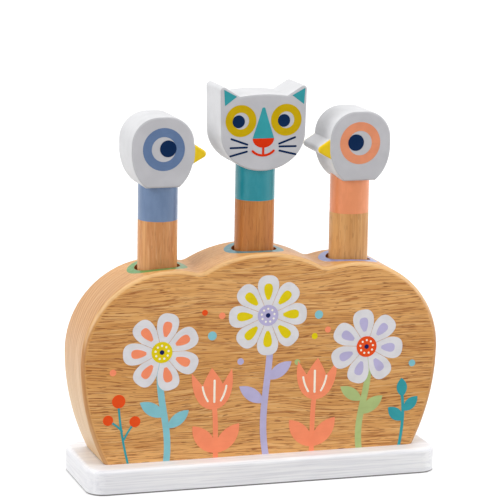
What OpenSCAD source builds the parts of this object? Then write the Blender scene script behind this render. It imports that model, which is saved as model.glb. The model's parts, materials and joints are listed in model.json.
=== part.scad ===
// Pop-up animal toy: a wooden block on a white base plate, and three loose pegs that
// stand on compression springs in three bores. Each peg is a dowel glued into a head.
// X runs along the base plate, Y from the printed front face to the back, Z up.
// The origin is the centre of the base plate's underside.

/* [Base plate] */
// Length of the base plate
plate_l = 184; // [180:1:210]
// Width of the base plate, front to back
plate_w = 58; // [50:1:80]
// Thickness of the base plate
plate_t = 13; // [10:0.5:18]
// Radius of the plate's upright corners
plate_corner_r = 9; // [5:0.5:14]
// Rounding of the plate's top edge
plate_top_r = 2.4; // [1:0.2:4]
// Rounding of the plate's bottom edge
plate_bottom_r = 0.8; // [0.4:0.1:2]

/* [Block] */
// Thickness of the block, front to back
block_t = 38; // [34:1:48]
// Height of the block at its two outer humps
hump_h = 97; // [86:1:120]
// Extra height of the middle hump over the outer ones
crown_rise = 6.6; // [4:0.2:10]
// Radius of the two outer humps
hump_r = 46; // [44:0.5:50]
// Distance of each outer hump's centre from the middle
hump_x = 48; // [45:0.5:52]
// Radius of the middle hump
crown_r = 63.5; // [56:0.5:72]
// Radius of the long curve down each end
flank_r = 114; // [100:1:150]
// Radius of the soft valleys between the humps
valley_r = 7; // [4:0.5:12]
// Rounding of the block's front and back edges
block_edge_r = 2.8; // [1.5:0.1:3.6]

/* [Bores] */
// Gap around a dowel in its bore
bore_play = 1.5; // [0.5:0.1:2]
// Distance of an outer bore outwards from its hump's centre
bore_offset = 2.6; // [0:0.2:5]
// Wood left between the outer bores and the base plate
bore_floor = 5; // [3:0.5:10]

/* [Pegs] */
// Diameter of the dowels
dowel_d = 20; // [19:0.25:21]
// Length of a dowel below its head
dowel_l = 88; // [80:1:96]
// Length of dowel that stands out of its hump at rest
dowel_proud = 40.6; // [34:0.2:48]
// Bevel at the foot of a dowel
dowel_bevel = 0.7; // [0.3:0.1:0.7]
// Depth of the glued socket in a head
socket_l = 10; // [6:0.5:14]
// Glue gap around a dowel in its socket
glue_gap = 0.1; // [0.05:0.05:0.2]

/* [Heads] */
// Thickness of the heads, front to back
head_t = 25; // [23:0.5:30]
// Rounding of the heads' front and back edges
head_edge_r = 1; // [0.5:0.1:1.4]
// Width of a bird's head without its beak
bird_w = 32.4; // [30:0.2:36]
// Height of a bird's head
bird_h = 35.4; // [33:0.2:40]
// Width of the flat under a bird's head
bird_flat_w = 17; // [14:0.5:20]
// Radius of a bird's crown
bird_crown_r = 14; // [10:0.5:14.5]
// Height of a bird's cheeks, from the flat to the widest place
bird_jaw_h = 17.5; // [16:0.5:18.5]
// How far a bird's head is set back from its dowel's axis, away from the beak
bird_setback = 0.9; // [0:0.1:2]
// Length of a beak
beak_l = 6; // [4:0.2:8]
// Height of a beak where it leaves the head
beak_h = 9.8; // [8:0.2:11]
// Height of a beak's lower edge above the flat
beak_z = 11.4; // [10:0.2:14]
// Rounding of a beak's tip
beak_tip_r = 2; // [1.5:0.1:2.6]
// Rounding of the corners where a beak meets the head
beak_root_r = 1; // [0.6:0.1:1.4]
// Width of the cat's head
cat_w = 44.4; // [40:0.2:50]
// Height of the cat's head from chin to ear tips
cat_h = 42.6; // [40:0.2:50]
// Height of the round lower part of the cat's head
cat_jaw_h = 19; // [15:0.5:22]
// Height of the ear tips above the dips beside the ears
ear_h = 4.8; // [3:0.2:6]
// Width of an ear
ear_w = 10.4; // [8:0.2:13]
// Outward lean of the ear tips
ear_lean = 0.5; // [0:0.1:1.5]
// Rounding of the ear tips
ear_tip_r = 2; // [1.5:0.1:2.6]
// Rise of the top of the cat's head between its ears
cat_crown_rise = 1; // [0.4:0.1:2]

/* [Springs] */
// How far a spring stands in from the edge of the dowel that it carries
spring_inset = 0.8; // [0.7:0.1:2]
// Diameter of the spring wire
wire_d = 1.4; // [1:0.1:1.8]
// Turns of a spring that are wound open
open_turns = 6; // [4:0.5:7]
// Turns at each end of a spring that are wound close
close_turns = 1; // [0.5:0.25:1.5]
// Gap between neighbouring close turns
close_gap = 0.5; // [0.45:0.05:1]
// Gap left between a spring's end and what it bears on
bearing_gap = 0.05; // [0.02:0.01:0.1]

/* [Screws] */
// Distance of the outer screws in from the foot of the block's ends
screw_edge = 11; // [8:0.5:13]
// Diameter of a screw's shank
screw_d = 3.5; // [3:0.1:4]
// Diameter of a screw's head
screw_head_d = 7.6; // [6.6:0.1:9]
// Overall length of a screw
screw_l = 26; // [20:1:30]
// Length of a screw's point
screw_point_l = 5; // [3:0.5:7]
// Depth of the screw heads below the plate's underside
screw_sink = 0.8; // [0.4:0.1:2]
// Width of the slots of the cross in a screw's head
cross_w = 1; // [0.6:0.1:1.4]
// Length of the slots of the cross in a screw's head
cross_l = 4.4; // [3:0.2:5]
// Depth of the cross in a screw's head
cross_depth = 1.6; // [1:0.1:2]
// Gap around a screw in its hole
screw_gap = 0.05; // [0.02:0.01:0.1]

/* [Hidden] */
$fn = 96;

wood = [0.83, 0.62, 0.38];
peg_wood = [0.80, 0.58, 0.38];
white_paint = [0.93, 0.93, 0.94];
steel = [0.75, 0.76, 0.78];

// how far a cutting shape runs past the face it cuts
over = 1;

// heights and centres of the humps
hump_z = plate_t + hump_h - hump_r;
crown_top = plate_t + hump_h + crown_rise;
crown_z = crown_top - crown_r;
flank_x = hump_x + hump_r - flank_r;
foot_x = flank_x + sqrt(flank_r * flank_r - pow(hump_z - plate_t, 2));

// the three bores from left to right: all of one depth, measured from the top of each hump
bore_d = dowel_d + 2 * bore_play;
bore_pitch = hump_x + bore_offset;
bore_x = [-bore_pitch, 0, bore_pitch];
hump_top = hump_z + sqrt(hump_r * hump_r - bore_offset * bore_offset);
bore_top = [hump_top, crown_top, hump_top];
bore_depth = hump_top - plate_t - bore_floor;

// a spring fills the bore below its dowel
spring_d = dowel_d - 2 * spring_inset;
spring_l = bore_depth - dowel_l + dowel_proud;

// two screws between the bores and two near the block's ends
screw_x = [screw_edge - foot_x, -bore_pitch / 2, bore_pitch / 2, foot_x - screw_edge];

// ---------- outlines: lists of points, anticlockwise ----------

function unit(v) = v / norm(v);

// Points of an arc about c with radii rx and ry, from angle a0 to a1 in n steps, less skip steps at each end.
function arc(c, rx, ry, a0, a1, n, skip = 0) =
    [for (i = [skip:n - skip]) let (a = a0 + (a1 - a0) * i / n) c + [rx * cos(a), ry * sin(a)]];

// The right half of a symmetric outline, completed by its mirror image.
function with_mirror_image(half) =
    let (m = len(half))
    concat(half, [for (i = [m - 1:-1:0]) if (abs(half[i][0]) > 0.001) [-half[i][0], half[i][1]]]);

// An outline moved inwards by d.
function inset(outline, d) =
    let (m = len(outline))
    [for (i = [0:m - 1])
        let (u = unit(outline[i] - outline[(i + m - 1) % m]), v = unit(outline[(i + 1) % m] - outline[i]),
             w = [-u[1] - v[1], u[0] + v[0]])
        outline[i] + w * d / (1 + u * v)];

// A slab cut to an outline, from z = 0 to z = t, with its low and high edges rounded.
module rounded_slab(outline, t, r_low, r_high, steps = 4) {
    m = len(outline);
    angles = [for (i = [0:steps]) 90 * i / steps];
    levels = concat([for (a = angles) [r_low * (1 - cos(a)), r_low * (1 - sin(a))]],
                    [for (a = angles) [t - r_high * (1 - sin(a)), r_high * (1 - cos(a))]]);
    rings = [for (l = levels) [for (p = inset(outline, l[1])) [p[0], p[1], l[0]]]];
    k = len(rings);
    sides = [for (j = [0:k - 2]) for (i = [0:m - 1])
        let (a = j * m + i, b = j * m + (i + 1) % m) [a, a + m, b + m, b]];
    polyhedron(points = [for (ring = rings) each ring],
               faces = concat([[for (i = [0:m - 1]) i]], sides, [[for (i = [m - 1:-1:0]) (k - 1) * m + i]]));
}

// A slab that stands upright, its outline in X and Z, centred on the XZ plane.
module upright_slab(outline, t, r, steps = 4) {
    translate([0, t / 2, 0])
        rotate([90, 0, 0])
            rounded_slab(outline, t, r, r, steps);
}

// ---------- the block's outline ----------

// Where a circle that touches two others from above has its centre.
function touching_centre(c1, r1, c2, r2, r) =
    let (v = c2 - c1, d = norm(v), along = (pow(r1 + r, 2) - pow(r2 + r, 2) + d * d) / (2 * d),
         up = sqrt(pow(r1 + r, 2) - along * along))
    c1 + v / d * along + [-v[1], v[0]] / d * up;
valley_c = touching_centre([0, crown_z], crown_r, [hump_x, hump_z], hump_r, valley_r);
valley_out = atan2(hump_z - valley_c[1], hump_x - valley_c[0]);
valley_in = atan2(crown_z - valley_c[1], -valley_c[0]);
foot_z = plate_t - block_edge_r - over;
flank_foot = asin((foot_z - hump_z) / flank_r);

// From the foot of the right end, over the outer hump and through the valley, to the middle of the crown.
block_outline = with_mirror_image(concat(
    arc([flank_x, hump_z], flank_r, flank_r, flank_foot, 0, 12),
    arc([hump_x, hump_z], hump_r, hump_r, 0, valley_out + 180, 24, 1),
    arc(valley_c, valley_r, valley_r, valley_out, valley_in, 6),
    arc([0, crown_z], crown_r, crown_r, valley_in + 180, 90, 10, 1),
    [[0, crown_top]]));

// ---------- the heads' outlines: X from the dowel's axis, Z from the head's lowest point ----------

// Where an outline's right side crosses the height z.
function side_x(outline, z) =
    max([for (i = [0:len(outline) - 2]) let (a = outline[i], b = outline[i + 1])
        if (a[0] > 0 && a[1] <= z && b[1] > z) a[0] + (b[0] - a[0]) * (z - a[1]) / (b[1] - a[1])]);

// A bird's head that looks towards +X: cheeks of half an ellipse cut off at the flat, and a round crown.
bird_jaw_r = bird_jaw_h / sqrt(1 - pow(bird_flat_w / bird_w, 2));
bird_crown_h = min(bird_crown_r, bird_h - bird_jaw_h);
bird_face = [for (p = with_mirror_image(concat(
    arc([0, bird_jaw_h], bird_w / 2, bird_jaw_r, -asin(bird_jaw_h / bird_jaw_r), 0, 12),
    arc([bird_w / 2 - bird_crown_r, bird_h - bird_crown_h], bird_crown_r, bird_crown_h, 0, 90, 10))))
    p - [bird_setback, 0]];
beak_low = [side_x(bird_face, beak_z), beak_z];
beak_high = [side_x(bird_face, beak_z + beak_h), beak_z + beak_h];
beak_tip_c = [bird_w / 2 - bird_setback + beak_l - beak_tip_r, beak_z + beak_h / 2];

// The direction in which a line from p leaves the circle that it touches, seen from the circle's centre.
function touch_angle(p, c, r, side) =
    let (v = p - c) atan2(v[1], v[0]) + side * acos(r / norm(v));

// The corner p between a and b, rounded by an arc of radius r that touches both its sides, in n steps.
function rounded_corner(a, p, b, r, n) =
    let (u = unit(a - p), v = unit(b - p), half = acos(u * v) / 2, c = p + unit(u + v) * r / sin(half),
         from = p + u * r / tan(half) - c, to = p + v * r / tan(half) - c,
         a0 = atan2(from[1], from[0]), a1 = atan2(to[1], to[0]))
    arc(c, r, r, a0, a0 + (a1 - a0 + 540) % 360 - 180, n);

cheek_below = [for (p = bird_face) if (p[0] > 0 && p[1] < beak_z - beak_root_r) p];
head_above = [for (p = bird_face) if (p[0] <= 0 || p[1] > beak_z + beak_h + beak_root_r) p];
beak_tip = arc(beak_tip_c, beak_tip_r, beak_tip_r, touch_angle(beak_low, beak_tip_c, beak_tip_r, 1),
               touch_angle(beak_high, beak_tip_c, beak_tip_r, -1), 6);
bird_outline = concat(
    cheek_below,
    rounded_corner(cheek_below[len(cheek_below) - 1], beak_low, beak_tip[0], beak_root_r, 3),
    beak_tip,
    rounded_corner(beak_tip[6], beak_high, head_above[0], beak_root_r, 3),
    head_above);

ear_x = cat_w / 2 + ear_lean;
ear_c = [ear_x - ear_tip_r, cat_h - ear_tip_r];
ear_dip = [ear_x - ear_w, cat_h - ear_h];
cat_crown_r = (ear_dip[0] * ear_dip[0] + cat_crown_rise * cat_crown_rise) / (2 * cat_crown_rise);
cat_crown_c = [0, ear_dip[1] + cat_crown_rise - cat_crown_r];
cat_outline = with_mirror_image(concat(
    arc([0, cat_jaw_h], cat_w / 2, cat_jaw_h, 270, 360, 16),
    arc(ear_c, ear_tip_r, ear_tip_r, 0, 360 + touch_angle(ear_dip, ear_c, ear_tip_r, -1), 7),
    arc(cat_crown_c, cat_crown_r, cat_crown_r, acos(ear_dip[0] / cat_crown_r), 90, 5)));

// ---------- the springs' coil ----------

turns = open_turns + 2 * close_turns;
coil_r = (spring_d - wire_d) / 2;
coil_l = spring_l - 2 * bearing_gap - wire_d;
close_pitch = wire_d + close_gap;
open_pitch = (coil_l - 2 * close_turns * close_pitch) / open_turns;
rings_per_turn = 8;
wire_sides = 6;
ring_count = round(turns * rings_per_turn);

// Height of the wire's centre after t turns.
function coil_z(t) =
    t < close_turns ? t * close_pitch :
    t > turns - close_turns ? coil_l - (turns - t) * close_pitch :
    close_turns * close_pitch + (t - close_turns) * open_pitch;

// Rings of points round the wire, from the spring's lower end to its upper end.
coil_rings = [for (i = [0:ring_count])
    let (t = turns * i / ring_count, a = 360 * t, rise = (coil_z(t + 0.01) - coil_z(t - 0.01)) / 0.02,
         lean = atan2(rise, 2 * PI * coil_r))
    [for (k = [0:wire_sides - 1])
        let (b = 90 + 360 * k / wire_sides, out = cos(b) * wire_d / 2, up = sin(b) * wire_d / 2)
        [(coil_r + out) * cos(a) + up * sin(lean) * sin(a), (coil_r + out) * sin(a) - up * sin(lean) * cos(a),
         wire_d / 2 + coil_z(t) + up * cos(lean)]]];

// The least distance between the points of two rings that lie half a turn or more apart along the wire.
least_gap = min([for (i = [0:ring_count]) for (j = [i + rings_per_turn / 2:1:ring_count])
    each [for (p = coil_rings[i]) for (q = coil_rings[j]) norm(p - q)]]);
echo(least_gap_of_spring_to_itself = least_gap);

module spring(i) {
    faces = concat(
        [[for (k = [0:wire_sides - 1]) k]],
        [for (j = [0:ring_count - 1]) for (k = [0:wire_sides - 1])
            let (a = j * wire_sides + k, b = j * wire_sides + (k + 1) % wire_sides)
            each [[a, a + wire_sides, b], [b, a + wire_sides, b + wire_sides]]],
        [[for (k = [wire_sides - 1:-1:0]) ring_count * wire_sides + k]]);
    color(steel)
        translate([bore_x[i], 0, bore_top[i] - bore_depth + bearing_gap])
            polyhedron(points = [for (ring = coil_rings) each ring], faces = faces);
}

// ---------- pegs ----------

module dowel(i) {
    r = dowel_d / 2;
    color(peg_wood)
        translate([bore_x[i], 0, bore_top[i] + dowel_proud - dowel_l])
            rotate_extrude()
                polygon([[0, 0], [r - dowel_bevel, 0], [r, dowel_bevel],
                         [r, dowel_l + socket_l], [0, dowel_l + socket_l]]);
}

module head(i, outline) {
    color(white_paint)
        translate([bore_x[i], 0, bore_top[i] + dowel_proud])
            difference() {
                upright_slab(outline, head_t, head_edge_r, 3);
                translate([0, 0, -over])
                    cylinder(d = dowel_d + 2 * glue_gap, h = over + socket_l + glue_gap);
            }
}

// ---------- screws ----------

// A screw's solid of revolution, g larger all round, its head's flat face at z = 0 and down by flat_drop.
module screw_shape(g, flat_drop) {
    head_r = screw_head_d / 2;
    r = screw_d / 2;
    land = 0.4;
    tip_r = 0.3;
    rotate_extrude()
        polygon([[0, -flat_drop], [head_r + g, -flat_drop], [head_r + g, land], [r + g, land + head_r - r],
                 [r + g, screw_l - screw_point_l], [tip_r + g, screw_l + g], [0, screw_l + g]]);
}

module screw(i) {
    color(steel)
        translate([screw_x[i], 0, screw_sink])
            difference() {
                screw_shape(0, 0);
                for (a = [0, 90])
                    rotate([0, 0, a])
                        translate([-cross_l / 2, -cross_w / 2, -over])
                            cube([cross_l, cross_w, over + cross_depth]);
            }
}

// The holes that the screws make in the plate and the block.
module screw_holes() {
    for (x = screw_x)
        translate([x, 0, screw_sink])
            screw_shape(screw_gap, screw_sink + over);
}

// ---------- plate and block ----------

module base_plate() {
    x = plate_l / 2;
    y = plate_w / 2;
    r = plate_corner_r;
    color(white_paint)
        difference() {
            rounded_slab(with_mirror_image(concat(arc([x - r, r - y], r, r, 270, 360, 10),
                                                  arc([x - r, y - r], r, r, 0, 90, 10))),
                         plate_t, plate_bottom_r, plate_top_r);
            screw_holes();
        }
}

module block() {
    color(wood)
        difference() {
            upright_slab(block_outline, block_t, block_edge_r);
            translate([-plate_l, -block_t, plate_t - block_t])
                cube([2 * plate_l, 2 * block_t, block_t]);
            for (i = [0:2])
                translate([bore_x[i], 0, bore_top[i] - bore_depth])
                    cylinder(d = bore_d, h = bore_depth + over);
            screw_holes();
        }
}

module base_screw_1() { screw(0); }
module base_screw_2() { screw(1); }
module base_screw_3() { screw(2); }
module base_screw_4() { screw(3); }
module spring_left() { spring(0); }
module spring_middle() { spring(1); }
module spring_right() { spring(2); }
module dowel_left() { dowel(0); }
module dowel_middle() { dowel(1); }
module dowel_right() { dowel(2); }
module bird_head_left() { head(0, bird_outline); }
module cat_head() { head(1, cat_outline); }
// The right-hand bird looks to the left: the same outline, mirrored and turned round again.
bird_outline_mirrored = [for (i = [len(bird_outline) - 1:-1:0]) [-bird_outline[i][0], bird_outline[i][1]]];
module bird_head_right() { head(2, bird_outline_mirrored); }

base_plate();
block();
base_screw_1();
base_screw_2();
base_screw_3();
base_screw_4();
spring_left();
spring_middle();
spring_right();
dowel_left();
dowel_middle();
dowel_right();
bird_head_left();
cat_head();
bird_head_right();
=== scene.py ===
"""Pop-up animal toy: three sprung pegs with animal heads, in a printed wooden block on a white plate.

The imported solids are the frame. Copies with softened shading stand for the heads, the block and the
plate, finer coils stand for the springs, and all that is printed is made of thin slips of ink.
"""
import json
import math

import bmesh
import bpy
from mathutils import Matrix, Vector
from mathutils.geometry import tessellate_polygon


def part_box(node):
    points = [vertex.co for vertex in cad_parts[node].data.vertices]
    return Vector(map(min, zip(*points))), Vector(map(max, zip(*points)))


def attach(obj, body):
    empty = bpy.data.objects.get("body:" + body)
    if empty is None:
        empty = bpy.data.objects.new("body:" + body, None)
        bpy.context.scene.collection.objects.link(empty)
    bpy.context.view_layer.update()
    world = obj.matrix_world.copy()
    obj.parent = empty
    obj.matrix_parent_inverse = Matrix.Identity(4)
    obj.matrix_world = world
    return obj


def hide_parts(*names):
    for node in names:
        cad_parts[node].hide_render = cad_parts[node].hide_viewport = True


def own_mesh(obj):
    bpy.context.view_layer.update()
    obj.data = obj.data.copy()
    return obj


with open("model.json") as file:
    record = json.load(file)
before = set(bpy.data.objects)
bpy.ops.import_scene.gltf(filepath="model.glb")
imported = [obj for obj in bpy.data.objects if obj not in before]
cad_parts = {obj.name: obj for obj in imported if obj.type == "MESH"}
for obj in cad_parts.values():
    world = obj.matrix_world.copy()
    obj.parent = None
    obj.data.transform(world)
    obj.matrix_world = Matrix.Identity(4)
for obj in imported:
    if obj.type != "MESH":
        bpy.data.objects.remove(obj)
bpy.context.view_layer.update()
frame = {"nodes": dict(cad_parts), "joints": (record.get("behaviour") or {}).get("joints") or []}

# ---------- sizes and places, in millimetres ----------


def lowest(node):
    """The lowest corner of a solid."""
    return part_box(node)[0] * 1000


def highest(node):
    """The highest corner of a solid."""
    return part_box(node)[1] * 1000


PLACES = ("left", "middle", "right")
JOINTS = {joint["name"]: joint for joint in frame["joints"]}
PRESS = {place: JOINTS[f"press_{place}"] for place in PLACES}
BORES = {place: (lowest(f"dowel_{place}").x + highest(f"dowel_{place}").x) / 2 for place in PLACES}
BORE_FLOOR = {place: PRESS[place]["deforming_nodes"][0]["fixed_end_z_m"] * 1000 for place in PLACES}
BLOCK_FACE = lowest("block").y
BLOCK_FOOT = lowest("block").z
HEAD_FACE = lowest("cat_head").y
BIRD_CHIN = lowest("bird_head_left").z
CAT_CHIN = lowest("cat_head").z

# Paint: where the dowels' collars end, along Z, and the radii of the rings round the bores.
COLLAR_END = {"left": 133.0, "middle": 141.6, "right": 133.0}
RING_INNER = 11.55
RING_OUTER = 15.3

# Ink: what its lowest layer stands proud, what each layer stands over the last, and how deep it is let in.
INK_PROUD = 0.05
INK_LAYER = 0.035
INK_ROOT = 0.02

# A bird's head: its width without the beak, the flat under it, the height from there to its widest place,
# the radius of its cheeks along Z, and how far it is set back from its dowel's axis.
BIRD_WIDTH = 32.4
BIRD_FLAT = 17.0
BIRD_JAW = 17.5
BIRD_CHEEK = BIRD_JAW / math.sqrt(1 - (BIRD_FLAT / BIRD_WIDTH) ** 2)
BIRD_SETBACK = 0.9

# A spring: the space between a bore's floor and its dowel's foot, the gap left at both ends, and the coil.
SPRING_SPACE = lowest("dowel_middle").z - BORE_FLOOR["middle"]
SPRING_GAP = 0.05
COIL_RADIUS = 8.5
WIRE_RADIUS = 0.7
CLOSED_TURNS = 1.0
CLOSED_PITCH = 1.9
OPEN_TURNS = 6.0


def mm(*values):
    """Millimetres as a tuple of metres."""
    return tuple(v / 1000 for v in values)


def shade(code):
    """A colour written as six hexadecimal digits, as the linear colour that a shader takes."""
    parts = [int(code[i:i + 2], 16) / 255 for i in (0, 2, 4)]
    return tuple(c / 12.92 if c <= 0.04045 else ((c + 0.055) / 1.055) ** 2.4 for c in parts) + (1.0,)


def toned(colour, gain, lift=0.0):
    """A linear colour made paler or deeper."""
    return tuple(min(1.0, c * gain + lift) for c in colour[:3]) + (1.0,)


# ---------- nodes written as sums ----------

def maths(operation, reflected=False):
    """An operator of Wire: a Math node on its terms, which change places if it is reflected."""
    def apply(wire, *others):
        terms = (*others, wire) if reflected else (wire, *others)
        return wire.recipe.node("ShaderNodeMath", {"operation": operation}, dict(enumerate(terms)))
    return apply


class Wire:
    """A node's output that can stand in a sum."""

    def __init__(self, recipe, socket):
        self.recipe = recipe
        self.socket = socket

    __add__ = maths("ADD")
    __radd__ = maths("ADD", reflected=True)
    __sub__ = maths("SUBTRACT")
    __rsub__ = maths("SUBTRACT", reflected=True)
    __mul__ = maths("MULTIPLY")
    __rmul__ = maths("MULTIPLY", reflected=True)
    __truediv__ = maths("DIVIDE")
    __pow__ = maths("POWER")
    __abs__ = maths("ABSOLUTE")
    __or__ = maths("MAXIMUM")
    __and__ = maths("MINIMUM")
    sine = maths("SINE")
    cosine = maths("COSINE")

    def out(self, name):
        """Another output of the same node."""
        return Wire(self.recipe, self.socket.node.outputs[name])

    def rise(self, low, high):
        """0 below low, 1 above high, and a soft step between them; it falls where low is the larger."""
        return self.recipe.node("ShaderNodeMapRange", {"interpolation_type": "SMOOTHSTEP"},
                                {"Value": self, "From Min": low, "From Max": high})


class Recipe:
    """The node tree of a material, of the world or of a geometry modifier."""

    def __init__(self, tree):
        self.tree = tree
        tree.nodes.clear()

    def node(self, kind, settings=None, sockets=None, out=0):
        """Adds a node: its settings first, then a value or a Wire for each socket. Returns one output."""
        made = self.tree.nodes.new(kind)
        for name, value in (settings or {}).items():
            setattr(made, name, value)
        for name, value in (sockets or {}).items():
            if isinstance(value, Wire):
                self.tree.links.new(value.socket, made.inputs[name])
            else:
                made.inputs[name].default_value = value
        return Wire(self, made.outputs[out]) if len(made.outputs) else None

    def apart(self, vector):
        """The X, Y and Z of a vector."""
        x = self.node("ShaderNodeSeparateXYZ", {}, {"Vector": vector})
        return x, x.out("Y"), x.out("Z")

    def facing(self):
        """The X, Y and Z of the way the surface faces."""
        return self.apart(self.node("ShaderNodeTexCoord").out("Normal"))

    def between(self, share, first, second):
        """The colour that lies this share of the way from the first to the second."""
        return self.node("ShaderNodeMix", {"data_type": "RGBA"}, {0: share, 6: first, 7: second}, out=2)

    def grain(self, point, cell, detail, start=(0.0, 0.0, 0.0)):
        """Noise about 0.5 whose blots measure cell, in millimetres along X, Y and Z."""
        stretched = self.node("ShaderNodeMapping", {}, {
            "Vector": point, "Location": start, "Scale": tuple(1 / c for c in cell)})
        return self.node("ShaderNodeTexNoise", {}, {"Vector": stretched, "Scale": 1.0, "Detail": detail})


def paint_shop(name):
    """A new material, its recipe and the object's own point, in millimetres."""
    material = bpy.data.materials.new(name)
    material.use_nodes = True
    recipe = Recipe(material.node_tree)
    metres = recipe.node("ShaderNodeTexCoord").out("Object")
    point = recipe.node("ShaderNodeVectorMath", {"operation": "SCALE"}, {0: metres, "Scale": 1000.0})
    return material, recipe, point


def surface(recipe, colour, roughness, height, relief, **fixed):
    """Closes a material: what changes over it, and the values that are the same all over it.

    relief is how many millimetres deep a height of 1 stands."""
    bump = recipe.node("ShaderNodeBump", {}, {"Height": height, "Distance": relief / 1000, "Strength": 1.0})
    values = {"Base Color": colour, "Roughness": roughness, "Normal": bump}
    values.update({name.replace("_", " "): value for name, value in fixed.items()})
    shader = recipe.node("ShaderNodeBsdfPrincipled", {}, values)
    recipe.node("ShaderNodeOutputMaterial", {}, {"Surface": shader})


# ---------- wood ----------

BLOCK_HEART = (150, 30)         # the heart of the tree in the block's end grain, along Y and Z
BLOCK_RINGS = 2.1               # how fast growth rings follow each other there, in radians a millimetre
DOWEL_HEART = (-21, 14)         # the heart of the tree from a dowel's axis, along X and Y
DOWEL_RINGS = 3.3
RING_PAINT = {"left": "4A9140", "middle": "18808F", "right": "8593CC"}
RING_LOWEST = 80                # the rings are painted on the block only above this height


def away(a, b):
    """How far a point lies from an axis, from its two offsets."""
    return (a * a + b * b) ** 0.5


def growth_rings(from_heart, pace):
    """From 0 to 1 and back for each ring that the tree grew round its heart."""
    return (from_heart * pace).sine() * 0.5 + 0.5


def long_grain(r, bent, bands, along):
    """The board's faces: colour, roughness and height, with dark dashes and pores where along is 1."""
    streaks = r.grain(bent, (46, 2.6, 1.9), 2)
    fibres = r.grain(bent, (22, 1.1, 0.8), 2)
    dashes = r.grain(bent, (14, 0.9, 0.4), 1, start=(3.1, 0.7, 5.3)).rise(0.55, 0.63) * along
    pores = r.grain(bent, (7, 1.0, 0.5), 1, start=(7.3, 2.2, 1.9)).rise(0.62, 0.69) * along
    colour = r.between(bands.rise(0.32, 0.68), shade("E3AA66"), shade("D29650"))
    colour = r.between(streaks.rise(0.50, 0.64) * 0.38, colour, shade("BF7D38"))
    colour = r.between(fibres.rise(0.54, 0.68) * 0.40, colour, shade("F0C78A"))
    colour = r.between(dashes * 0.72, colour, shade("9C5821"))
    colour = r.between(pores * 0.76, colour, shade("84481A"))
    roughness = 0.44 + dashes * 0.16 - bands * 0.08
    height = 0.6 - dashes * 0.4 - pores * 0.3 + fibres * 0.25
    return colour, roughness, height


def end_grain(r, point, bend):
    """The block's two ends: growth rings and rays, with painted light making them paler towards the foot."""
    _, y, z = r.apart(point)
    rings = growth_rings(away(y - BLOCK_HEART[0], z - BLOCK_HEART[1]) + bend, BLOCK_RINGS)
    rays = r.grain(point, (40, 1.2, 34), 2, start=(1.7, 4.4, 0.9))
    # Painted light: the ends turn paler towards the foot, where the white plate lights them, and warmer
    # higher up.
    towards_foot = z.rise(85, 25)
    early_wood = r.between(towards_foot, shade("CE9B67"), shade("DAB787"))
    late_wood = r.between(towards_foot, shade("B58049"), shade("C49B68"))
    colour = r.between(rings.rise(0.1, 1.0) * 0.8, early_wood, late_wood)
    colour = r.between(rays.rise(0.50, 0.72) * 0.34, colour, shade("A06E3C"))
    return r.between(rays.rise(0.48, 0.30) * 0.32, colour, shade("EBD0A8"))


def bore_rings(r, point, colour, roughness, height):
    """Lays the painted ring round each bore over the top of the block's wood."""
    x, y, z = r.apart(point)
    on_top = z.rise(RING_LOWEST - 0.5, RING_LOWEST + 0.5)
    ragged = (r.grain(point, (1.6, 1.6, 1.6), 1) - 0.5) * 0.3
    worn = r.grain(point, (2.5, 2.5, 2.5), 3).rise(0.4, 0.8) * 0.18
    for place, code in RING_PAINT.items():
        radius = away(x - BORES[place], y)
        outside_bore = radius.rise(RING_INNER, RING_INNER + 0.05)
        ring = outside_bore & (radius + ragged).rise(RING_OUTER, RING_OUTER - 0.15) & on_top
        colour = r.between(ring * 0.96, colour, r.between(worn, shade(code), shade("CFD9CE")))
        roughness = roughness - ring * 0.08
        height = height + ring * 0.2
    return colour, roughness, height


def oiled_block_wood():
    """Honey-coloured board, grain along X, painted rings round the three bores, and painted light and shade.
    """
    material, r, point = paint_shop("oiled block wood")
    x, y, z = r.apart(point)
    facing_x, facing_y, facing_z = r.facing()
    side, front = abs(facing_x), abs(facing_y)
    sway = r.grain(point, (85, 85, 30), 1) - 0.5
    bent = r.node("ShaderNodeCombineXYZ", {}, {"X": x, "Y": y, "Z": z + sway * 14})
    bands = r.grain(bent, (150, 26, 12), 3)
    along = 1 - (side.rise(0.05, 0.30) | facing_z.rise(0.3, 0.8)) * 0.80
    colour, roughness, height = long_grain(r, bent, bands, along)
    at_end = side.rise(0.15, 0.75)
    colour = r.between(at_end * 0.9, colour, end_grain(r, point, sway * 6 + bands * 3))
    # Painted shade: a thin dark line along the foot of the block's two ends stands for the contact shadow
    # where the block meets the plate.
    joint = z.rise(BLOCK_FOOT + 0.6, BLOCK_FOOT + 0.2) * at_end
    colour = r.between(joint * 0.8, colour, shade("4A3423"))
    # Painted light and shade on the rounded edges: painted shade where they face sideways, a painted
    # highlight where they face up.
    rounded_edge = front.rise(0.15, 0.45) & front.rise(0.985, 0.85)
    upward = facing_z.rise(0.05, 0.45)
    colour = r.between(rounded_edge * (1 - upward) * 0.55, colour, shade("AC6A2C"))
    colour = r.between(rounded_edge * upward * 0.40, colour, shade("F2CE96"))
    colour, roughness, height = bore_rings(r, point, colour, roughness, height)
    surface(r, colour, roughness, height, 0.14,
            Specular_IOR_Level=0.25, Coat_Weight=0.20, Coat_Roughness=0.26)
    return material


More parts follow.
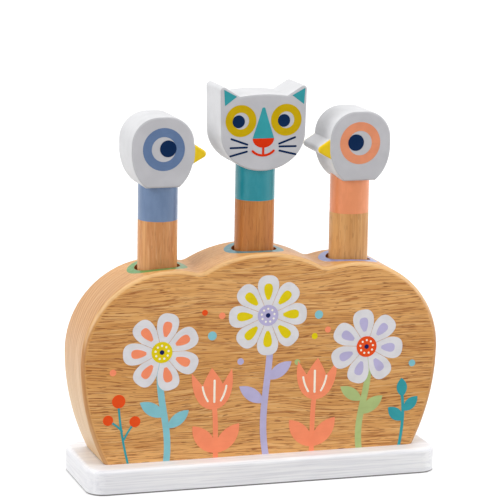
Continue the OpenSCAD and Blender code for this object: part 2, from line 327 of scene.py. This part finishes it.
def turned_dowel_wood(place, collar_code, tones, seed):
    """Reddish dowel with its grain along Z, in tones from palest to darkest, and its painted collar."""
    material, r, point = paint_shop(f"{place} dowel wood")
    x, y, z = r.apart(point)
    fibre, pale, deep, streak, pore = [shade(tone) for tone in tones.split()]
    start = (seed, seed * 1.7, seed * 0.6)
    broad = r.grain(point, (6, 6, 80), 2, start=start)
    streaks = r.grain(point, (1.4, 1.4, 26), 3, start=start)
    fibres = r.grain(point, (0.8, 0.8, 12), 2, start=start)
    pores = r.grain(point, (0.6, 0.6, 5.5), 1, start=start).rise(0.58, 0.68)
    colour = r.between(broad.rise(0.32, 0.68), pale, deep)
    colour = r.between(streaks.rise(0.48, 0.64) * 0.32, colour, streak)
    colour = r.between(fibres.rise(0.54, 0.68) * 0.30, colour, fibre)
    colour = r.between(pores * 0.22, colour, pore)

    from_heart = away(x - BORES[place] - DOWEL_HEART[0], y - DOWEL_HEART[1])
    rings = growth_rings(from_heart + (broad - 0.5) * 3, DOWEL_RINGS)
    at_end = abs(r.facing()[2]).rise(0.6, 0.95)
    colour = r.between(at_end * 0.8, colour, r.between(rings, fibre, pale))

    ragged = (r.grain(point, (3, 3, 3), 1) - 0.5) * 0.2
    collar = (z + ragged).rise(COLLAR_END[place] - 0.06, COLLAR_END[place] + 0.06)
    blots = r.grain(point, (3.5, 3.5, 8), 3, start=start)
    full_coat = shade(collar_code)
    collar_paint = r.between(blots.rise(0.35, 0.75) * 0.55, full_coat, toned(full_coat, 1.16, 0.02))
    colour = r.between(collar, colour, collar_paint)
    roughness = 0.46 + pores * 0.15 - collar * 0.06
    height = (1 - collar * 0.7) * (streaks * 0.3 - pores * 0.6) + collar * 0.35
    surface(r, colour, roughness, height, 0.08,
            Specular_IOR_Level=0.15, Coat_Weight=0.25 + collar * 0.35, Coat_Roughness=0.24)
    return material


# ---------- paint, ink and steel ----------

def on_beak(r, point, place, looks):
    """1 on the two faces of a beak: outside the curve of the bird's cheek, and not on the beak's edges."""
    x, y, z = r.apart(point)
    outwards = (x - BORES[place]) * looks
    below = (BIRD_CHIN + BIRD_JAW - z) | 0.0
    cheek = (1 - (below / BIRD_CHEEK) ** 2.0) ** 0.5 * (BIRD_WIDTH / 2) - BIRD_SETBACK
    return (outwards - cheek).rise(-0.06, 0.06) & abs(y).rise(-HEAD_FACE - 1.2, -HEAD_FACE - 1.08)


def head_paint(name, place=None, looks=1):
    """White satin paint, its flat front face painted grey as painted shade, darker still at its rim.

    A bird's beak is yellow on both faces and white on its edges."""
    material, r, point = paint_shop(name)
    behind_face = r.apart(point)[1] - HEAD_FACE
    cloud = r.grain(point, (9, 9, 9), 2)
    speck = r.grain(point, (0.9, 0.9, 0.9), 1)
    blot = cloud.rise(0.3, 0.7)
    face = behind_face.rise(0.08, 0.03)
    rim = behind_face.rise(0.35, 0.25) & behind_face.rise(0.05, 0.12)
    colour = r.between(blot, shade("CDCDCF"), shade("D4D4D6"))
    # Painted shade: the flat front face is a darker grey copy of the white paint.
    colour = r.between(face, colour, r.between(blot, shade("BDBCC0"), shade("C4C3C7")))
    # Painted shade: a thin darker line where the front face turns into the rounded edge.
    colour = r.between(rim * 0.55, colour, shade("98979C"))
    colour = r.between(speck.rise(0.66, 0.78) * 0.22, colour, shade("B4B3B8"))
    height = speck * 0.5 + cloud
    if place:
        beak = on_beak(r, point, place, looks)
        yellow = r.between(r.grain(point, (4, 4, 4), 2).rise(0.3, 0.8), shade("E6C100"), shade("F0CF00"))
        colour = r.between(beak, colour, yellow)
        height = height + beak * 0.6
    surface(r, colour, 0.42 + cloud * 0.08, height, 0.04,
            Specular_IOR_Level=0.3, Coat_Weight=0.08, Coat_Roughness=0.3)
    return material


def plate_paint():
    """White brushed paint over the plate's wood, with a painted contact shadow along its lowest edge."""
    material, r, point = paint_shop("brushed plate paint")
    z = r.apart(point)[2]
    facing_x, _, facing_z = r.facing()
    at_end = abs(facing_x).rise(0.6, 0.8)

    def strokes(along_x, along_y, detail):
        """Brush strokes along X, and along Y at the plate's two ends."""
        return r.grain(point, along_x, detail) * (1 - at_end) + r.grain(point, along_y, detail) * at_end

    broad = strokes((60, 1.6, 1.2), (1.6, 40, 1.2), 3)
    fine = strokes((22, 0.7, 0.6), (0.7, 16, 0.6), 2)
    cloud = r.grain(point, (30, 18, 9), 2)
    colour = r.between(cloud.rise(0.3, 0.7), shade("F0F0F3"), shade("F7F7F8"))
    colour = r.between(broad.rise(0.46, 0.60) * 0.50, colour, shade("DFDFE5"))
    colour = r.between(fine.rise(0.55, 0.66) * 0.32, colour, shade("CCCCD3"))
    # Painted shade: the plate's two ends are painted darker than its faces.
    colour = r.between(at_end * 0.45, colour, shade("DCDCDF"))
    # Painted shade: a dark band along the plate's lowest edge stands for the contact shadow under it.
    low_edge = z.rise(1.0, 0.6) & (z + (cloud - 0.5) * 0.6).rise(0.02, 0.12)
    painted_contact_shadow = low_edge & facing_z.rise(-0.9, -0.7)
    colour = r.between(painted_contact_shadow * 0.9, colour, shade("554F4B"))
    roughness = 0.46 + broad * 0.12 + painted_contact_shadow * 0.2
    surface(r, colour, roughness, broad + fine * 0.6, 0.1, Coat_Weight=0.05, Coat_Roughness=0.4)
    return material


def printing_ink(name, code):
    """Flat printing ink in which the ground's fine grain still shows a little."""
    material, r, point = paint_shop(name + " ink")
    lines = r.grain(point, (12, 1.0, 0.8), 2)
    cloud = r.grain(point, (6, 6, 6), 2)
    plain = shade(code)
    colour = r.between(cloud.rise(0.3, 0.7), plain, toned(plain, 1.08, 0.002))
    colour = r.between(lines.rise(0.55, 0.80) * 0.35, colour, toned(plain, 0.86))
    surface(r, colour, 0.50 + lines * 0.10, lines, 0.03, Specular_IOR_Level=0.08)
    return material


def bright_steel(name, code, cell):
    """Drawn or turned steel with fine marks."""
    material, r, point = paint_shop(name)
    marks = r.grain(point, cell, 3)
    cloud = r.grain(point, (2.5, 2.5, 2.5), 2)
    colour = r.between(marks.rise(0.35, 0.70), shade(code), shade("8F9094"))
    surface(r, colour, 0.24 + cloud * 0.22, marks, 0.02, Metallic=1.0)
    return material


INKS = {name: printing_ink(name, code) for name, code in {
    "coral": "FA9068", "sky": "84C2CC", "lilac": "B9B2D6", "leaf": "AEC07F", "chalk": "DEDCDF",
    "navy": "101C55", "sun": "E0CA10", "poppy": "E8501C", "cream": "FFF5E3", "teal": "379BA3",
    "slate": "62799E", "peach": "E3916B", "ochre": "C5A400", "midnight": "00224A", "scarlet": "D63000",
}.items()}

# ---------- flat outlines, as lists of (x, z) in millimetres ----------


def placed(outline, x, z, turn):
    """An outline drawn round the origin, turned clockwise by turn degrees and moved to (x, z)."""
    c, s = math.cos(math.radians(turn)), math.sin(math.radians(turn))
    return [(x + c * a + s * b, z - s * a + c * b) for a, b in outline]


def both_sides(half):
    """An outline from its right half, whose points on the mirror line aren't repeated."""
    return half + [(-a, b) for a, b in reversed(half) if a > 0]


def disc(x, z, radius, corners=44):
    """A circle."""
    turns = [math.tau * i / corners for i in range(corners)]
    return [(x + radius * math.cos(turn), z + radius * math.sin(turn)) for turn in turns]


def bow(points, steps=24):
    """A smooth curve drawn from the first point to the last by the points between them."""
    def at(t, held):
        while len(held) > 1:
            held = [tuple(a + (b - a) * t for a, b in zip(p, q)) for p, q in zip(held, held[1:])]
        return held[0]
    return [at(i / steps, points) for i in range(steps + 1)]


def stroke(points, width, steps=24):
    """A line with round ends along a bow."""
    path = bow(points, steps)
    before, after = path[:1] + path[:-1], path[1:] + path[-1:]
    headings = [math.atan2(q[1] - p[1], q[0] - p[0]) for p, q in zip(before, after)]

    def off(index, turn):
        """The point half a width away from a point of the path, at this turn from the heading there."""
        angle = headings[index] + turn
        return path[index][0] + width / 2 * math.cos(angle), path[index][1] + width / 2 * math.sin(angle)

    def round_end(index, turn):
        """The corners of a half circle about a point of the path, from this turn on."""
        return [off(index, turn + math.pi * k / 8) for k in range(1, 8)]

    right = [off(i, -math.pi / 2) for i in range(len(path))]
    left = [off(i, math.pi / 2) for i in reversed(range(len(path)))]
    return right + round_end(-1, -math.pi / 2) + left + round_end(0, math.pi / 2)


def blade(x, z, turn, length, width):
    """A leaf pointed at both ends that grows from (x, z), turn degrees clockwise from upright."""
    half = bow([(0, 0), (width * 0.62, length * 0.2475), (width * 0.72, length * 0.675), (0, length)], 14)
    return placed(both_sides(half), x, z, turn)


def petal(start, end, width, count):
    """A petal that stands upright from its root to a round end, clear of its neighbours in a wheel."""
    length = end - start
    slope = math.tan(math.pi / count)
    half = bow([(width * 0.14, start), (width * 0.50, start + length * 0.35),
                (width * 0.78, end + length * 0.02), (0, end)], 18)
    return both_sides([(min(a, b * slope - 0.12), b) for a, b in half])


def cup(x, z, width, height, turn):
    """A flower's cup with three points."""
    w, h = width / 2, height
    side = bow([(0, 0), (w * 0.72, h * 0.02), (w * 1.10, h * 0.42), (w, h)], 10)
    notch = bow([(w, h), (w * 0.72, h * 0.80), (w * 0.50, h * 0.64)], 5)
    tip = bow([(w * 0.50, h * 0.64), (w * 0.34, h * 0.84), (0, h * 1.08)], 6)
    return placed(both_sides(side + notch[1:] + tip[1:]), x, z, turn)


# ---------- slips of ink ----------

def area(loop):
    """The area inside an outline, below 0 where it runs clockwise."""
    return sum(p[0] * q[1] - q[0] * p[1] for p, q in zip(loop, loop[1:] + loop[:1])) / 2


def slip(face, ink, layer, *loops):
    """A closed flat slip of ink on a face that looks along -Y: its outline first, then its holes."""
    turned = [loop if (area(loop) > 0) == (k == 0) else loop[::-1] for k, loop in enumerate(loops)]
    front = face - INK_PROUD - INK_LAYER * layer
    back = face + INK_ROOT
    flat = [point for loop in turned for point in loop]
    count = len(flat)
    points = [mm(a, y, b) for y in (front, back) for a, b in flat]
    faces = []
    for triangle in tessellate_polygon([[Vector((a, b, 0)) for a, b in loop] for loop in turned]):
        if area([flat[i] for i in triangle]) <= 0:
            triangle = triangle[::-1]
        faces += [tuple(triangle), tuple(i + count for i in reversed(triangle))]
    first = 0
    for loop in turned:
        for k in range(len(loop)):
            a, b = first + k, first + (k + 1) % len(loop)
            faces.append((a, a + count, b + count, b))
        first += len(loop)
    mesh = bpy.data.meshes.new("slip")
    mesh.from_pydata(points, [], faces)
    mesh.materials.append(INKS[ink])
    return mesh


def joined(meshes):
    """One mesh from several, each with its own materials. The several are deleted."""
    bm = bmesh.new()
    materials = []
    for mesh in meshes:
        before = len(bm.faces)
        bm.from_mesh(mesh)
        bm.faces.ensure_lookup_table()
        for face in bm.faces[before:]:
            material = mesh.materials[face.material_index]
            if material not in materials:
                materials.append(material)
            face.material_index = materials.index(material)
        bpy.data.meshes.remove(mesh)
    whole = bpy.data.meshes.new("joined")
    bm.to_mesh(whole)
    bm.free()
    for material in materials:
        whole.materials.append(material)
    return whole


def linked(name, data):
    """A new object with this mesh, lens or lamp, put into the scene."""
    made = bpy.data.objects.new(name, data)
    bpy.context.collection.objects.link(made)
    return made


def piece(name, body, mesh):
    """A piece that rides on a body, with the materials its mesh already has."""
    mesh.name = name
    made = linked(name, mesh)
    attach(made, body)
    return made


# ---------- geometry that repeats or follows a rule ----------

def geometry(name, inputs):
    """An empty geometry tree with named inputs. Returns the tree, its recipe and a Wire for each input."""
    tree = bpy.data.node_groups.new(name, "GeometryNodeTree")
    for label, kind in inputs.items():
        tree.interface.new_socket(label, in_out="INPUT", socket_type="NodeSocket" + kind)
    tree.interface.new_socket("Geometry", in_out="OUTPUT", socket_type="NodeSocketGeometry")
    recipe = Recipe(tree)
    given = recipe.node("NodeGroupInput")
    return tree, recipe, {label: given.out(label) for label in inputs}


def close(recipe, shape, material):
    """Ends a geometry tree: real geometry with its material."""
    real = recipe.node("GeometryNodeRealizeInstances", {}, {"Geometry": shape})
    done = recipe.node("GeometryNodeSetMaterial", {}, {"Geometry": real, "Material": material})
    recipe.node("NodeGroupOutput", {}, {"Geometry": done})


def coil_tree():
    """A compression spring: closed end turns, open turns between them, round wire."""
    tree, r, given = geometry("coil spring", {
        "Foot": "Vector", "Coil Radius": "Float", "Wire Radius": "Float", "Closed Turns": "Float",
        "Open Turns": "Float", "Closed Pitch": "Float", "Open Pitch": "Float", "Rings per Turn": "Int",
        "Sides": "Int", "Material": "Material"})
    closed, opened, radius = given["Closed Turns"], given["Open Turns"], given["Coil Radius"]
    whole = closed * 2 + opened
    line = r.node("GeometryNodeCurvePrimitiveLine")
    rings = r.node("GeometryNodeResampleCurve", {}, {
        "Curve": line, "Count": whole * given["Rings per Turn"] + 1})
    turn = r.node("GeometryNodeInputIndex") / given["Rings per Turn"]
    closed_so_far = (turn & closed) + ((turn - (whole - closed)) | 0.0)
    open_so_far = ((turn - closed) | 0.0) & opened
    up = given["Wire Radius"] + given["Closed Pitch"] * closed_so_far + given["Open Pitch"] * open_so_far
    angle = turn * math.tau
    offset = r.node("ShaderNodeCombineXYZ", {}, {
        "X": radius * angle.cosine(), "Y": radius * angle.sine(), "Z": up})
    place = r.node("ShaderNodeVectorMath", {"operation": "ADD"}, {0: given["Foot"], 1: offset})
    path = r.node("GeometryNodeSetPosition", {}, {"Geometry": rings, "Position": place})
    section = r.node("GeometryNodeCurvePrimitiveCircle", {}, {
        "Resolution": given["Sides"], "Radius": given["Wire Radius"]})
    wire = r.node("GeometryNodeCurveToMesh", {}, {
        "Curve": path, "Profile Curve": section, "Fill Caps": True})
    close(r, wire, given["Material"])
    return tree


def wheel_tree():
    """Slips of one kind set evenly round a centre, like the petals of a daisy."""
    tree, r, given = geometry("petal wheel", {
        "Slip": "Object", "Count": "Int", "Centre": "Vector", "First Turn": "Float", "Material": "Material"})
    spots = r.node("GeometryNodePoints", {}, {"Count": given["Count"], "Position": given["Centre"]})
    angle = r.node("GeometryNodeInputIndex") * math.tau / given["Count"] + given["First Turn"]
    turned = r.node("ShaderNodeCombineXYZ", {}, {"Y": angle})
    shape = r.node("GeometryNodeObjectInfo", {}, {"Object": given["Slip"]}).out("Geometry")
    wheel = r.node("GeometryNodeInstanceOnPoints", {}, {
        "Points": spots, "Instance": shape, "Rotation": turned})
    close(r, wheel, given["Material"])
    return tree


def plain_mesh(holder, modifier):
    """The mesh that an object's one modifier makes. The object, its mesh and the modifier are deleted."""
    depsgraph = bpy.context.evaluated_depsgraph_get()
    mesh = bpy.data.meshes.new_from_object(holder.evaluated_get(depsgraph))
    holder.modifiers.remove(modifier)
    first = holder.data
    bpy.data.objects.remove(holder)
    bpy.data.meshes.remove(first)
    return mesh


def grown(tree, values):
    """The plain mesh that a geometry tree makes from these named values."""
    holder = linked("holder", bpy.data.meshes.new("holder"))
    modifier = holder.modifiers.new("grown", "NODES")
    modifier.node_group = tree
    for item in tree.interface.items_tree:
        if item.in_out == "INPUT":
            modifier[item.identifier] = values[item.name]
    return plain_mesh(holder, modifier)


PETALS = wheel_tree()


def wheel(ink, layer, outline, count, x, z, first=0.0):
    """Slips of this outline, drawn upright from the origin, set evenly round (x, z) on the block."""
    data = slip(BLOCK_FACE, ink, layer, outline)
    one = linked("one slip", data)
    mesh = grown(PETALS, {"Slip": one, "Count": count, "Centre": mm(x, 0, z),
                          "First Turn": math.radians(first), "Material": INKS[ink]})
    bpy.data.objects.remove(one)
    bpy.data.meshes.remove(data)
    return mesh


# ---------- finishes for the solids, and softened copies of them ----------

SCREW_STEEL = bright_steel("screw steel", "C9C8C2", (0.6, 0.6, 0.15))
FINISH = {
    "base_plate": plate_paint(),
    "block": oiled_block_wood(),
    "dowel_left": turned_dowel_wood("left", "647B9D", "E8B988 DBA26A C88853 A96B3A 7A4820", 1.3),
    "dowel_middle": turned_dowel_wood("middle", "0A8693", "D79B5D C47F42 AF6B32 935122 6B3818", 4.1),
    "dowel_right": turned_dowel_wood("right", "E8905F", "EDC188 DEA96B CB9054 AB713D 81532A", 7.7),
    "bird_head_left": head_paint("left bird's paint", "left", 1),
    "cat_head": head_paint("cat's paint"),
    "bird_head_right": head_paint("right bird's paint", "right", -1),
    **{f"base_screw_{number}": SCREW_STEEL for number in range(1, 5)},
}


SHARP_CORNER = 40    # corners that turn by more degrees than this stay sharp


def finish_solids():
    """Gives every solid but the springs its own finish."""
    for node, material in FINISH.items():
        for material_slot in frame["nodes"][node].material_slots:
            material_slot.material = material


def fill_again(bm, depth):
    """Fills the two flat faces this far before and behind Y = 0 anew, each from its outline.

    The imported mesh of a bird's head has folded triangles there."""
    for side in (-1, 1):
        flat = [f for f in bm.faces if all(abs(v.co.y - side * depth) < 1e-6 for v in f.verts)]
        chosen = set(flat)
        rim = [e for e in bm.edges if sum(f in chosen for f in e.link_faces) == 1]
        bmesh.ops.delete(bm, geom=flat, context="FACES")
        filled = bmesh.ops.edgeloop_fill(bm, edges=rim)["faces"]
        bm.normal_update()
        bmesh.ops.reverse_faces(bm, faces=[f for f in filled if f.normal.y * side < 0])
        bmesh.ops.triangulate(bm, faces=filled)


def smoothed(node, body):
    """A copy of a solid, with its flat faces kept flat and its round edges shaded smooth, stands for it."""
    bm = bmesh.new()
    bm.from_mesh(frame["nodes"][node].data)
    bmesh.ops.remove_doubles(bm, verts=bm.verts, dist=2e-6)
    if node.startswith("bird"):
        fill_again(bm, -HEAD_FACE / 1000)
    mesh = bpy.data.meshes.new("holder")
    bm.to_mesh(mesh)
    bm.free()
    for attribute in [a for a in mesh.attributes if "custom_normal" in a.name]:
        mesh.attributes.remove(attribute)
    mesh.materials.clear()
    mesh.materials.append(FINISH[node])
    mesh.polygons.foreach_set("material_index", [0] * len(mesh.polygons))
    mesh.shade_smooth()
    mesh.set_sharp_from_angle(angle=math.radians(SHARP_CORNER))
    holder = linked("holder", mesh)
    weighted = holder.modifiers.new("weighted", "WEIGHTED_NORMAL")
    weighted.keep_sharp = True
    made = piece(f"{node}_smoothed", body, plain_mesh(holder, weighted))
    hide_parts(node)


finish_solids()
smoothed("bird_head_left", "peg_left")
smoothed("cat_head", "peg_middle")
smoothed("bird_head_right", "peg_right")
smoothed("block", "block")
smoothed("base_plate", "block")

# ---------- springs ----------

COIL = coil_tree()
SPRING_WIRE = bright_steel("spring wire", "B9BABD", (0.35, 0.35, 0.35))


def coil_spring(place):
    """A round coil for a bore, which stands on the bore's floor."""
    x, z = BORES[place], BORE_FLOOR[place]
    length = SPRING_SPACE - 2 * SPRING_GAP
    open_pitch = (length - 2 * WIRE_RADIUS - 2 * CLOSED_TURNS * CLOSED_PITCH) / OPEN_TURNS
    mesh = grown(COIL, {
        "Foot": mm(x, 0, z + SPRING_GAP),
        "Coil Radius": COIL_RADIUS / 1000, "Wire Radius": WIRE_RADIUS / 1000,
        "Closed Turns": CLOSED_TURNS, "Open Turns": OPEN_TURNS,
        "Closed Pitch": CLOSED_PITCH / 1000, "Open Pitch": open_pitch / 1000,
        "Rings per Turn": 28, "Sides": 12, "Material": SPRING_WIRE})
    mesh.shade_smooth()
    spring = piece(f"coil_spring_{place}", "block", joined([mesh]))
    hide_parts(f"spring_{place}")
    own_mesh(spring)


for place in PLACES:
    coil_spring(place)

# ---------- faces of the heads ----------


def printed_on_head(name, place, slips):
    """A piece of print that goes with a peg's head."""
    piece(name, f"peg_{place}", joined(slips))


def on_head(ink, layer, *loops):
    """A slip of ink on the front of a head."""
    return slip(HEAD_FACE, ink, layer, *loops)


def from_chin(points):
    """Points whose heights are given from the cat's chin."""
    return [(x, CAT_CHIN + z) for x, z in points]


def bird_eye(place, looks, ring_ink):
    """A broad coloured ring, and a pupil in it that looks towards the beak."""
    set_back, height, glance = 0.6, 19.2, 2.2
    x, z = BORES[place] - set_back * looks, BIRD_CHIN + height
    ring = [disc(x, z, radius=10.7, corners=72), disc(x, z, radius=6.2, corners=56)]
    pupil = disc(x + glance * looks, z + 0.3, radius=4.2, corners=48)
    printed_on_head(f"bird_eye_{place}", place, [on_head(ring_ink, 0, *ring), on_head("midnight", 1, pupil)])


def cat_eye(side):
    """A broad ring, and a pupil in it that looks a little to the left."""
    aside, height, glance = 11.8, 25.5, -1.2
    x, z = aside * side, CAT_CHIN + height
    ring = [disc(x, z, radius=8.0, corners=60), disc(x, z, radius=4.2, corners=40)]
    pupil = disc(x + glance, z - 0.3, radius=3.2, corners=36)
    return [on_head("ochre", 0, *ring), on_head("midnight", 1, pupil)]


def cat_ear(side):
    """The coloured inside of an ear; the left one sits a little closer to the middle."""
    shift = 0.8 if side < 0 else 0.0
    corners = [(21.5, 41.3), (14.8, 37.7), (21.0, 33.1)]
    return on_head("teal", 0, from_chin([(x * side + shift, z) for x, z in corners]))


def cat_whiskers(side):
    """Three whiskers that spread outwards from the nose."""
    ends = (((16.6, 16.6), (8.3, 13.6)), ((17.0, 12.1), (8.5, 12.2)), ((17.0, 8.0), (8.5, 10.1)))
    lines = [from_chin([(x * side, z) for x, z in pair]) for pair in ends]
    return [on_head("midnight", 0, stroke(line, width=1.0, steps=2)) for line in lines]


def cat_nose_and_mouth():
    """A tapering bridge, the round tip of the nose under it, and a mouth on a short stem."""
    tip_x, tip_z, tip_drop, mouth_width = 5.6, 16.5, 4.7, 1.15
    side = bow(from_chin([(tip_x, tip_z), (4.3, 20.6), (2.2, 26.5), (0.8, 31.6)]), 12)
    top = bow(from_chin([(0.8, 31.6), (0.4, 32.2), (-0.4, 32.2), (-0.8, 31.6)]), 6)
    bridge = side + top[1:-1] + [(-x, z) for x, z in reversed(side)]
    turns = [math.pi * k / 20 for k in range(21)]
    tip = from_chin([(tip_x * math.cos(turn), tip_z - tip_drop * math.sin(turn)) for turn in turns])
    stem = stroke(from_chin([(0, 12.1), (0, 8.6)]), mouth_width, steps=2)
    smile = stroke(from_chin([(-5.5, 10.2), (-2.6, 7.2), (2.6, 7.2), (5.5, 10.2)]), mouth_width)
    return [on_head("teal", 0, bridge), on_head("scarlet", 0, tip),
            on_head("scarlet", 1, stem), on_head("scarlet", 2, smile)]


bird_eye("left", 1, "slate")
bird_eye("right", -1, "peach")
printed_on_head("cat_eyes", "middle", cat_eye(-1) + cat_eye(1))
printed_on_head("cat_inner_ears", "middle", [cat_ear(-1), cat_ear(1)])
printed_on_head("cat_whiskers", "middle", cat_whiskers(-1) + cat_whiskers(1))
printed_on_head("cat_nose_and_mouth", "middle", cat_nose_and_mouth())

# ---------- the block's printed front: a plain flower bed ----------

GROUND = BLOCK_FOOT + 0.05    # the print ends just above the base plate


def printed_on_block(name, slips):
    """A piece of print that stays on the block."""
    piece(name, "block", joined(slips))


def above_ground(loop):
    """The part of an outline that lies above the base plate."""
    kept = []
    for p, q in zip(loop, loop[1:] + loop[:1]):
        if p[1] >= GROUND:
            kept.append(p)
        if (p[1] - GROUND) * (q[1] - GROUND) < 0:
            kept.append((p[0] + (q[0] - p[0]) * (GROUND - p[1]) / (q[1] - p[1]), GROUND))
    return kept


def on_block(ink, layer, outline):
    """A slip of ink on the front of the block."""
    return slip(BLOCK_FACE, ink, layer, above_ground(outline))


def daisy(name, x, z, count, first, reach, inks, stalk, leaves):
    """A daisy on a thick stalk: chalk petals with a coloured drop in each, and an eye with seeds in it.

    The inks are for the drops, the eye and the stalk, and a leaf is (x, z, turn, length, width)."""
    drop_ink, eye_ink, stalk_ink = inks
    printed_on_block(name, [
        on_block(stalk_ink, 0, stroke(stalk, width=3.4)),
        *[on_block(stalk_ink, 1, blade(*leaf)) for leaf in leaves],
        wheel("chalk", 2, petal(start=3.5, end=reach, width=11.2, count=count), count, x, z, first),
        wheel(drop_ink, 3, petal(start=8.0, end=reach - 4.2, width=4.6, count=count), count, x, z, first),
        on_block(eye_ink, 4, disc(x, z, radius=5.4)),
        on_block("navy", 5, disc(x, z, radius=1.2, corners=28)),
        wheel("cream", 5, disc(0, 3.4, radius=0.55, corners=16), 9, x, z)])


def tulip(name, x, z, turn, foot):
    """A coral cup with cream veins on a short stalk with two broad leaves."""
    leaf_z = foot[1] + 4.5
    middle_vein = stroke([(x, z + 4), (x, z + 15)], width=1.1, steps=2)
    side_veins = [stroke([(x + 3.4 * side, z + 4.5), (x + 5.6 * side, z + 8), (x + 6.2 * side, z + 12)],
                         width=1.0, steps=8) for side in (-1, 1)]
    printed_on_block(name, [
        on_block("coral", 0, stroke([foot, (foot[0], z - 4), (x, z + 2)], width=2.6)),
        on_block("coral", 1, cup(x, z, width=21, height=20, turn=turn)),
        on_block("coral", 1, blade(foot[0], leaf_z, turn=-40, length=19, width=8.5)),
        on_block("coral", 2, blade(foot[0], leaf_z, turn=40, length=19, width=8.5)),
        *[on_block("cream", 2, vein) for vein in [middle_vein] + side_veins]])


daisy("daisy_left", -53, 69, count=7, first=12, reach=20, inks=("coral", "sun", "sky"),
      stalk=[(-53, 69), (-57, 46), (-47, 32), (-50.6, 10)],
      leaves=[(-51.4, 36, -58, 15, 6.5), (-49.8, 30, 52, 14, 6)])
daisy("daisy_middle", 2, 85, count=8, first=0, reach=20.5, inks=("sun", "lilac", "lilac"),
      stalk=[(2, 85), (7, 58), (-4, 38), (2.6, 10)],
      leaves=[(2.6, 52, 55, 15, 6.5), (0.6, 40, -55, 16, 6.5)])
daisy("daisy_right", 55, 66, count=7, first=-8, reach=19.5, inks=("lilac", "poppy", "leaf"),
      stalk=[(55, 66), (60, 44), (48, 32), (52.6, 10)],
      leaves=[(53.0, 38, -56, 14, 6), (52.2, 31, 54, 15, 6.5)])
tulip("tulip_left", -25.5, 38, turn=-4, foot=(-24.5, 11))
tulip("tulip_right", 27.5, 40, turn=4, foot=(26.5, 11))
printed_on_block("berry_stalks", [
    on_block("teal", 0, stroke([(-69.6, 11), (-74, 28), (-75, 43)], width=1.1)),
    on_block("teal", 1, stroke([(-72.2, 25.5), (-70, 30), (-67.5, 33)], width=1.0, steps=10)),
    on_block("teal", 1, stroke([(-73.2, 30), (-77, 34), (-79.5, 35)], width=1.0, steps=10)),
    on_block("poppy", 2, disc(-75, 45.2, 3.4)),
    on_block("poppy", 2, disc(-66.6, 34.4, 2.8)),
    on_block("poppy", 2, disc(-80.4, 35.8, 2.6))])
printed_on_block("young_shoot", [
    on_block("teal", 0, stroke([(73.6, 11), (77, 27), (75, 40)], width=1.6)),
    on_block("teal", 1, blade(75.8, 26, turn=-48, length=11, width=6)),
    on_block("teal", 1, blade(76.0, 31, turn=46, length=10.5, width=5.6)),
    on_block("teal", 1, blade(75.2, 38.5, turn=-4, length=10, width=5.6))])
printed_on_block("loose_dots", [on_block(ink, 0, disc(x, z, radius, corners=28)) for ink, x, z, radius in (
    ("sky", -27, 76, 2.3), ("coral", -22, 86, 1.7), ("poppy", -31, 88, 1.5), ("sky", 29, 84, 2.2),
    ("coral", 34, 76, 1.6), ("sun", 27, 73, 1.6), ("coral", -78, 60, 1.7), ("sky", 80, 56, 1.8),
    ("lilac", -12, 62, 1.7), ("leaf", 18, 60, 1.5))])

# ---------- camera, floor and light ----------


def photographer(place, ahead, above, lens):
    """A camera at this place, in millimetres, that looks ahead and has its top towards above."""
    data = bpy.data.cameras.new("camera")
    data.sensor_fit = "HORIZONTAL"
    data.sensor_width = 36
    data.lens = lens
    camera = linked("camera", data)
    ahead = Vector(ahead).normalized()
    above = Vector(above)
    above = (above - ahead * above.dot(ahead)).normalized()
    turned = Matrix((ahead.cross(above), above, -ahead)).transposed().to_4x4()
    camera.matrix_world = Matrix.Translation(mm(*place)) @ turned
    bpy.context.scene.camera = camera


def seen_or_not(recipe, seen, unseen):
    """One shader for what is seen, directly or in a gloss, and one for the light that falls on the toy."""
    path = recipe.node("ShaderNodeLightPath")
    share = path.out("Is Camera Ray") | path.out("Is Glossy Ray") | path.out("Is Transmission Ray")
    return recipe.node("ShaderNodeMixShader", {}, {"Fac": share, 1: unseen, 2: seen})


def grey(level):
    """A neutral linear colour."""
    return (level, level, level, 1.0)


def pale_floor(reach):
    """A floor that reaches this many metres each way. It looks white but lights the toy less than white."""
    material = bpy.data.materials.new("pale floor")
    material.use_nodes = True
    r = Recipe(material.node_tree)
    plain = r.node("ShaderNodeBsdfDiffuse", {}, {"Color": grey(0.5)})
    soft = r.node("ShaderNodeBsdfDiffuse", {}, {"Color": grey(0.8)})
    glow = r.node("ShaderNodeEmission", {}, {"Color": grey(1.0), "Strength": 0.28})
    bright = r.node("ShaderNodeAddShader", {}, {0: soft, 1: glow})
    r.node("ShaderNodeOutputMaterial", {}, {"Surface": seen_or_not(r, bright, plain)})
    mesh = bpy.data.meshes.new("floor")
    corners = [(-reach, -reach, 0), (reach, -reach, 0), (reach, reach, 0), (-reach, reach, 0)]
    mesh.from_pydata(corners, [], [(0, 1, 2, 3)])
    mesh.materials.append(material)
    linked("floor", mesh)


def studio_room():
    """A white backdrop, and a dim even room that lights the toy from all round."""
    world = bpy.data.worlds.new("studio")
    world.use_nodes = True
    bpy.context.scene.world = world
    r = Recipe(world.node_tree)
    room = r.node("ShaderNodeBackground", {}, {"Color": (0.98, 0.99, 1.0, 1.0), "Strength": 0.25})
    backdrop = r.node("ShaderNodeBackground", {}, {"Color": grey(1.0), "Strength": 1.0})
    r.node("ShaderNodeOutputWorld", {}, {"Surface": seen_or_not(r, backdrop, room)})


def lamp(name, towards, strength, spread):
    """A broad soft lamp that shines from this direction, spread over this many degrees."""
    data = bpy.data.lights.new(name, "SUN")
    data.energy = strength
    data.angle = math.radians(spread)
    made = linked(name, data)
    made.rotation_euler = Vector(towards).to_track_quat("Z", "Y").to_euler()


photographer(place=(-399.501, -1240.976, 373.584), ahead=(0.29922, 0.93410, -0.19475),
             above=(0.04321, 0.19062, 0.98071), lens=189.39)
pale_floor(reach=3)
studio_room()
lamp("left lamp", (-0.88, -0.30, 0.38), strength=1.95, spread=40)
lamp("right lamp", (0.85, -0.33, 0.22), strength=2.1, spread=45)
lamp("top lamp", (0.05, 0.22, 0.95), strength=2.1, spread=60)
bpy.context.scene.view_settings.view_transform = "Standard"
